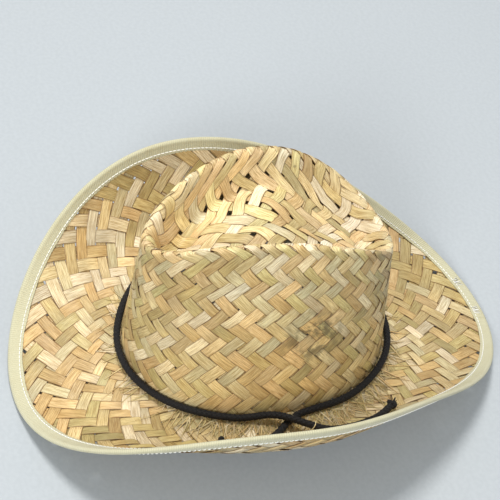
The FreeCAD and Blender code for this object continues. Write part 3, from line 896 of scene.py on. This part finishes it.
def crown_strip(rng, bank, diagonal, offset):
    """One straw from the head opening up the wall, across the tip and down the other side."""
    direction = np.array([1.0, diagonal])
    hx, hy = MAT_HALF
    low_x = max(-hx, offset - hy)
    high_x = min(hx, hy + offset)
    start = np.array([low_x, (low_x - offset) * diagonal])
    crossings = int(round((high_x - low_x) * 2))
    finish = start + direction * crossings / 2
    lap_a, lean_a = side_lean(start, -direction)
    lap_b, lean_b = side_lean(finish, direction)
    rows_a, rows_b = wall_end(lap_a, lean_a), wall_end(lap_b, lean_b)
    fine_a, fine_b = fine_steps(rows_a * 2)[::-1][:-1] / 2, fine_steps(rows_b * 2)[1:] / 2
    fine_m = fine_steps(crossings) / 2
    tip = start + direction * fine_m[:, None]
    wall = np.concatenate([np.ones(len(fine_a)), np.zeros(len(tip)), np.ones(len(fine_b))]) > 0
    first = np.concatenate([lap_a + lean_a * fine_a, tip[:, 0], lap_b + lean_b * fine_b])
    second = np.concatenate([fine_a, tip[:, 1], fine_b])
    across = np.concatenate([np.tile([-0.5, 0.5 * lean_a], (len(fine_a), 1)),
                             np.tile([-0.5 * diagonal, 0.5], (len(tip), 1)),
                             np.tile([0.5, -0.5 * lean_b], (len(fine_b), 1))])

    def place(shift):
        return crown_surface(wall[:, None], first[:, None] + across[:, :1] * shift,
                             second[:, None] + across[:, 1:] * shift)

    places = start + direction * (np.arange(crossings + 1) / 2)[:, None]
    depth = mat_excess(places[:, 0], places[:, 1])
    families = np.where(beside_mat(places[:, 0], places[:, 1]), diagonal, -diagonal)
    count_a, count_b = int(rows_a * 2) + 2, int(rows_b * 2) + 2
    states = np.concatenate([twill(np.arange(count_a, 0, -1) / 2, lean_a),
                             twill(depth, families),
                             twill(np.arange(1, count_b + 1) / 2, lean_b)])
    runs = np.concatenate([count_a - fine_a * 2, count_a + fine_m * 2,
                           count_a + crossings + fine_b * 2])
    look = strip_look(rng, len(runs), runs)
    look["width"] = look["width"] * np.where(wall, 1.0, 0.9)
    look["wander"] += np.where(wall, 0.0, 0.10) * np.sin(runs * 1.9 + offset)
    # Painted light: the tip's strips are made lighter and paler.
    look["tint"] *= np.where(wall[:, None], 1.0, TIP_PAINTED_LIGHT)
    strip_mesh(bank, place, smooth_state(states, runs), look)


def brim_strip(rng, bank, lap, lean):
    """One straw from the head opening out to the binding."""
    rows = fine_steps(brim_end(lap, lean) * 2) / 2

    def place(shift):
        return brim_surface(lap + lean * rows[:, None] + 0.5 * shift,
                            rows[:, None] - 0.5 * lean * shift)

    states = twill(np.arange(int(rows[-1] * 2) + 3) / 2, lean)
    look = strip_look(rng, len(rows), rows * 2)
    look["tint"] *= BRIM_TINT
    strip_mesh(bank, place, smooth_state(states, rows * 2), look)


def make_straw():
    """Makes the straw pieces, two of the crown and two of the brim, by the way they lean."""
    rng = np.random.default_rng(11)
    span = int(MAT_HALF[0] + MAT_HALF[1])
    for name, diagonal in (("crown_straw_left_hand", 1), ("crown_straw_right_hand", -1)):
        bank = new_bank()
        for offset in range(-span, span + 1):
            crown_strip(rng, bank, diagonal, offset)
        yield bank_object(name, bank)
    for name, lean in (("brim_straw_left_hand", 1.0), ("brim_straw_right_hand", -1.0)):
        bank = new_bank()
        for lap in range(BRIM_STRIPS):
            brim_strip(rng, bank, float(lap), lean)
        yield bank_object(name, bank)


for straw, nodes in zip(make_straw(), (("crown_tip", "crown_wall"), (), ("brim",), ())):
    add_to_hat(straw, "straw", *nodes)

# ---------------- binding and its stitches

TAPE_WIDTH = 7.9             # how far the tape covers the straw on each face
TAPE_OUT = 1.6               # tape's outside from the middle of the straw
TAPE_IN = 0.78               # tape's inside from the middle of the straw
FOLD_REACH = 3.0             # how far the fold stands beyond the straw's edge
FOLD_SWELL = 0.35            # how much thicker the fold is, over the wire
SEAM_DEPTH = 0.16            # how far the stitches pull the tape in
PUCKER = 0.10                # rise and fall of the tape between two stitches
TAPE_COLUMNS, LAP_COLUMNS = 1500, 60
STITCH_INSET = 5.7
STITCH_PITCH = 3.4
NEARBY = 0.002               # angle to the next place when a direction is measured
LAP_ANGLES = (176.0, 188.0)  # where the tape's ends overlap, degrees from the front
EDGE_SHARES = np.linspace(1.0, 0.7, 46)


def edge_run():
    """Distance round the brim's edge at a dense row of angles."""
    return runs_of(edge(TURN))


def inset_share(angle, inset):
    """Share of the brim that lies this far in from its edge."""
    run = row_runs(brim(angle[:, None], EDGE_SHARES[None, :]))
    inset = np.broadcast_to(inset, angle.shape)
    return np.array([np.interp(depth, row, EDGE_SHARES) for depth, row in zip(inset, run)])


def brim_up(angle, share):
    """Normal of the brim on the side the sky sees."""
    up = surface_normal(brim, angle, np.minimum(share, 0.99))
    return up * np.sign(up[..., 2:])


def tape_point(angle, inset, height):
    """Place over the brim (height above its middle) at an inset; negative insets go beyond
    the edge."""
    inside = np.maximum(inset, 0.0)
    share = inset_share(angle, inside)
    point = brim(angle, share) + brim_up(angle, share) * np.asarray(height)[..., None]
    out = unit(brim(angle, np.ones_like(angle)) - brim(angle, np.full_like(angle, 0.995)))
    return point + out * np.maximum(-np.asarray(inset), 0.0)[..., None]


def tape_profile(out):
    """Inset and height of the folded tape's section, from the end of its upper leg."""
    legs = [TAPE_WIDTH, 7.6, 6.6, 5.8, 5.0, 3.4, 1.8, 0.6]
    upper = [(inset, out - SEAM_DEPTH * math.exp(-((inset - STITCH_INSET) / 0.6) ** 2))
             for inset in legs]
    fold = [(-FOLD_REACH * math.cos(turn), (out + FOLD_SWELL) * math.sin(turn))
            for turn in np.radians((75, 50, 25, 0, -25, -50, -75))]
    lower = [(inset, -height) for inset, height in upper[::-1]]
    inner = [(TAPE_WIDTH, -TAPE_IN), (0.3, -TAPE_IN), (0.3, TAPE_IN), (TAPE_WIDTH, TAPE_IN)]
    return upper + fold + lower + inner


def tape_mesh(name, angles, out):
    """Tape folded over the edge along a row of angles."""
    profile = tape_profile(out)
    turns = np.floor(angles / TAU)
    run = np.interp(angles - turns * TAU, TURN, edge_run()) + turns * edge_run()[-1]
    pucker = PUCKER * np.sin(run / STITCH_PITCH * TAU)
    wave = 0.22 * np.sin(run * 0.11) + 0.14 * np.sin(run * 0.27 + 1.0)
    columns = []
    for inset, height in profile:
        near = np.clip(inset / TAPE_WIDTH, 0, 1) ** 2
        outside = abs(height) > TAPE_IN + 0.01 and inset >= 0
        swell = pucker * near
        columns.append(tape_point(angles, inset + wave * near + swell,
                                  height + math.copysign(1, height) * outside * swell))
    verts = np.stack(columns, 1)
    count, size = verts.shape[:2]
    faces = ring_faces(count, size).tolist() + ring_caps(count, size)
    item = new_object(name, verts.reshape(-1, 3) * MM, faces, TAPE)
    width = runs_of(np.array(profile))
    strip_uvs(item.data, np.stack(np.broadcast_arrays(run[:, None], width[None, :]), -1)
              .reshape(-1, 2))
    return item


def stitches(place, up, ahead, length, radius, slant=0.0):
    """Short stitches at places: each arches out of the cloth and dives back in."""
    ahead, up = unit(ahead), unit(up)
    side = np.cross(up, ahead)
    ahead = unit(ahead * math.cos(slant) + side * math.sin(slant))
    parts = []
    for spot, lift, way in zip(place, up, ahead):
        share = np.linspace(-0.5, 0.5, 6)[:, None]
        line = spot + way * length * share + lift * (0.12 - 0.35 * (2 * np.abs(share)) ** 3)
        parts.append(tube(line, radius, 5))
    return parts


def brim_stitches(name, side, slant):
    """Stitch line round the tape on the brim's upper (side 1) or lower (side -1) face."""
    run = edge_run()
    angle = np.interp(np.arange(0, run[-1] - STITCH_PITCH / 2, STITCH_PITCH), run, TURN)
    height = np.full_like(angle, side * (TAPE_OUT + 0.12))
    inset = np.full_like(angle, STITCH_INSET)
    spots = tape_point(angle, inset, height)
    ahead = tape_point(angle + NEARBY, inset, height) - spots
    up = brim_up(angle, inset_share(angle, inset)) * side
    parts = stitches(spots, up, ahead, STITCH_PITCH * 0.76, 0.36, slant)
    return new_object(name, *joined(parts), THREAD)


def lap_stitches():
    """A zigzag and a bar of thread at each end of the tape's overlap."""
    parts = []
    for start in (LAP_ANGLES[0] + 1.4, LAP_ANGLES[1] - 1.6):
        step = np.arange(9)
        zigzag = (start + step * 0.28, np.where(step % 2, 6.2, 0.8), TAPE_OUT + 0.68)
        bar = (np.full(7, start + 1.1), np.linspace(0.6, 6.6, 7), TAPE_OUT + 0.74)
        for angle, inset, height in (zigzag, bar):
            line = tape_point(np.radians(angle), inset, np.full_like(inset, height))
            parts.append(tube(line, 0.34, 5))
    return new_object("binding_lap_stitches", *joined(parts), THREAD)


def make_binding():
    start, finish = np.radians(LAP_ANGLES)
    seam = start + 0.05                  # the tape's ends meet under the lap
    add_to_hat(tape_mesh("edge_binding_tape", np.linspace(seam, seam + TAU, TAPE_COLUMNS), TAPE_OUT),
               "binding_tape", "edge_binding")
    add_to_hat(tape_mesh("edge_binding_lap", np.linspace(start, finish, LAP_COLUMNS),
                         TAPE_OUT + 0.45), "binding_tape")
    for item, node in ((brim_stitches("binding_stitches_upper", 1, 0.0), "binding_thread_upper"),
                       (brim_stitches("binding_stitches_under", -1, 0.5), "binding_thread_under"),
                       (lap_stitches(), "binding_lap_tack")):
        add_to_hat(item, "binding_thread", node)


make_binding()

# ---------------- sweatband

BAND_LOW, BAND_HEIGHT = 1.5, 28.0
BAND_NEAR, BAND_FAR = 1.0, 2.2        # band's two faces, inside the middle of the straw
SEAM_HEIGHT = 3.0                     # stitch line above the band's lower edge
BAND_TURNS = 360


def band_point(angle, height, depth):
    """Place inside the crown at a height above the head opening, measured up the wall."""
    share = height / wall_height(angle)
    knot_at = np.interp(share, WALL_SHARES, range(len(WALL_SHARES)))
    point = crown(angle, knot_at)
    across = surface_normal(crown, angle, np.maximum(knot_at, 0.05))
    outward = (across * (point - (0, CENTRE_Y, 60))).sum(-1)
    return point - across * (np.sign(outward) * depth)[:, None]


def make_sweatband():
    """Cotton band inside the head opening, a closed section carried round, and its seam."""
    angles = np.linspace(0, TAU, BAND_TURNS + 1)[:-1]
    heights = np.linspace(BAND_LOW, BAND_LOW + BAND_HEIGHT, 9)
    ripple = 0.18 * np.sin(angles * 23) + 0.12 * np.sin(angles * 41 + 1)
    level = np.ones(BAND_TURNS)
    rows = [band_point(angles, level * height, level * BAND_NEAR) for height in heights]
    rows += [band_point(angles, level * height, BAND_FAR + ripple * (index / 8))
             for index, height in reversed(list(enumerate(heights)))]
    verts = np.stack(rows, 1)
    size = verts.shape[1]
    quads = ring_faces(BAND_TURNS + 1, size) % (BAND_TURNS * size)
    band = new_object("sweatband_cloth", verts.reshape(-1, 3) * MM,
                      np.roll(quads[:, ::-1], 1, axis=1), COTTON)
    run = runs_of(band_point(TURN, np.full(DENSE, SEAM_HEIGHT), np.full(DENSE, BAND_FAR)))
    angle = np.interp(np.arange(0, run[-1] - 2, 4.0), run, TURN)
    level, depth = np.full_like(angle, BAND_LOW + SEAM_HEIGHT), np.full_like(angle, BAND_FAR + 0.15)
    spots = band_point(angle, level, depth)
    inner = band_point(angle, level, depth + 0.85) - spots
    ahead = band_point(angle + NEARBY, level, depth) - spots
    seam = new_object("sweatband_stitches",
                      *joined(stitches(spots, inner, ahead, 3.2, 0.34)), THREAD)
    add_to_hat(band, "sweatband_cloth", "sweatband")
    add_to_hat(seam, "binding_thread", "sweatband_thread")


make_sweatband()

for name, material in (("brim_wire", WIRE), ("wire_sleeve", WIRE), ("sweatband_joint", COTTON)):
    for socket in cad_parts[name].material_slots:
        socket.material = material

# ---------------- loose fibres

LOOSE_FIBRES = 520


def make_fibres():
    """Frayed slivers of straw that fan out over the brim from the crown, most on the left."""
    rng = np.random.default_rng(23)
    parts, tints = [], []
    for _ in range(LOOSE_FIBRES):
        near = rng.random() < 0.62
        angle = math.radians(rng.normal(92, 26) if near else rng.uniform(0, 360))
        reach = rng.uniform(0.14, 0.48) if near else rng.uniform(0.06, 0.24)
        skew = rng.normal(0, 0.10)
        share = np.linspace(0, 1, 8)
        turn = angle + skew * share
        out = 0.012 + reach * share
        lift = 1.0 + rng.uniform(0.2, 1.6) * np.sin(share * math.pi) * rng.uniform(0.3, 1.0)
        up = brim_up(turn, out)
        line = brim(turn, out) + up * lift[:, None]
        width = rng.uniform(0.3, 0.95) * (1 - 0.75 * share)
        parts.append(tube(line, width, 4, 0.3, np.cross(np.gradient(line, axis=0), up)))
        tone = TINTS[rng.integers(len(TINTS))] * rng.uniform(1.0, 1.3)
        tints.append(np.tile(np.append(tone, 1.0), (len(parts[-1][0]), 1)))
    item = new_object("brim_loose_fibres", *joined(parts), STRAW)
    tint = item.data.color_attributes.new("tint", "FLOAT_COLOR", "POINT")
    tint.data.foreach_set("color", np.concatenate(tints).ravel())
    item.data.attributes.new("edge", "FLOAT", "POINT")
    item.data.uv_layers.new(name="strip")
    add_to_hat(item, "straw")


make_fibres()

# ---------------- stage and light

FLOOR_HALF = 6.0


def make_stage():
    corners = [(x * FLOOR_HALF, y * FLOOR_HALF, 0) for x, y in ((-1, -1), (1, -1), (1, 1), (-1, 1))]
    floor = new_object("floor", corners, [(0, 1, 2, 3)], smooth=False)
    graph = Graph("floor")
    place = graph.place()
    grain = graph.noise(place, 300.0, 2.0, 0.5)
    color = graph.patched(srgb(179, 184, 187), srgb(183, 188, 191), grain, 0.3, 0.7)
    floor.data.materials.append(graph.shade(color=color, rough=0.9, specular=0.1))


def make_light(name, place, aim, power, size, color):
    lamp = bpy.data.lights.new(name, "AREA")
    lamp.energy = power
    lamp.size = size
    lamp.color = color
    item = bpy.data.objects.new(name, lamp)
    item.location = place
    item.rotation_euler = (Vector(aim) - Vector(place)).to_track_quat("-Z", "Y").to_euler()
    bpy.context.scene.collection.objects.link(item)


make_stage()
make_light("key", (-0.6, -0.1, 2.45), (0, 0, 0), 50.0, 0.6, (1.0, 0.99, 0.97))
make_light("fill", (1.6, -1.4, 1.35), (0, 0, 0.05), 34.0, 0.7, (0.96, 0.98, 1.0))
world = bpy.data.worlds.new("studio")
bpy.context.scene.world = world
world.use_nodes = True
sky = world.node_tree.nodes["Background"]
sky.inputs["Color"].default_value = (0.92, 0.96, 1.0, 1.0)
sky.inputs["Strength"].default_value = 0.47
bpy.context.scene.view_settings.view_transform = "Standard"
